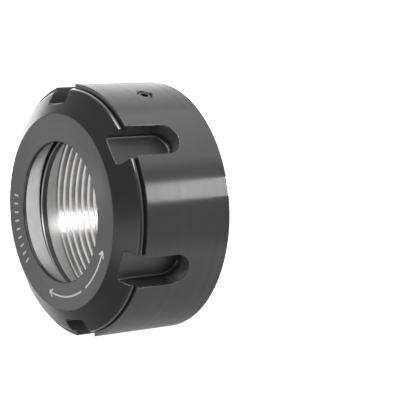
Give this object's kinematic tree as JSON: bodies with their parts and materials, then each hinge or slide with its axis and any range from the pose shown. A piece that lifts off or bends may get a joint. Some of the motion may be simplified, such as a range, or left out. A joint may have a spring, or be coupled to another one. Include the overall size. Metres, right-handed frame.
{
  "type": "collet nut",
  "caption": "Slotted steel collet nut: internal thread at the back, 30 degree collet taper and off-centre extractor lip inside, spanner slots round the nose.",
  "frame": {"origin": "centre of the threaded back face, on the nut's axis", "axes": "+Z along the nut's axis from the threaded back face to the nose; +X through the balance screw, midway between two spanner slots; +Y by the right-hand rule, through a spanner slot"},
  "size_m": [0.05, 0.05, 0.023],
  "materials": {
    "black_oxide_steel": "black oxide, satin; the taper, relief and thread are machined bright",
    "screw_steel": "black oxide, dull"
  },
  "bodies": {
    "root": {"nut_body": "black_oxide_steel", "balance_screw": "screw_steel"}
  },
  "joints": []
}
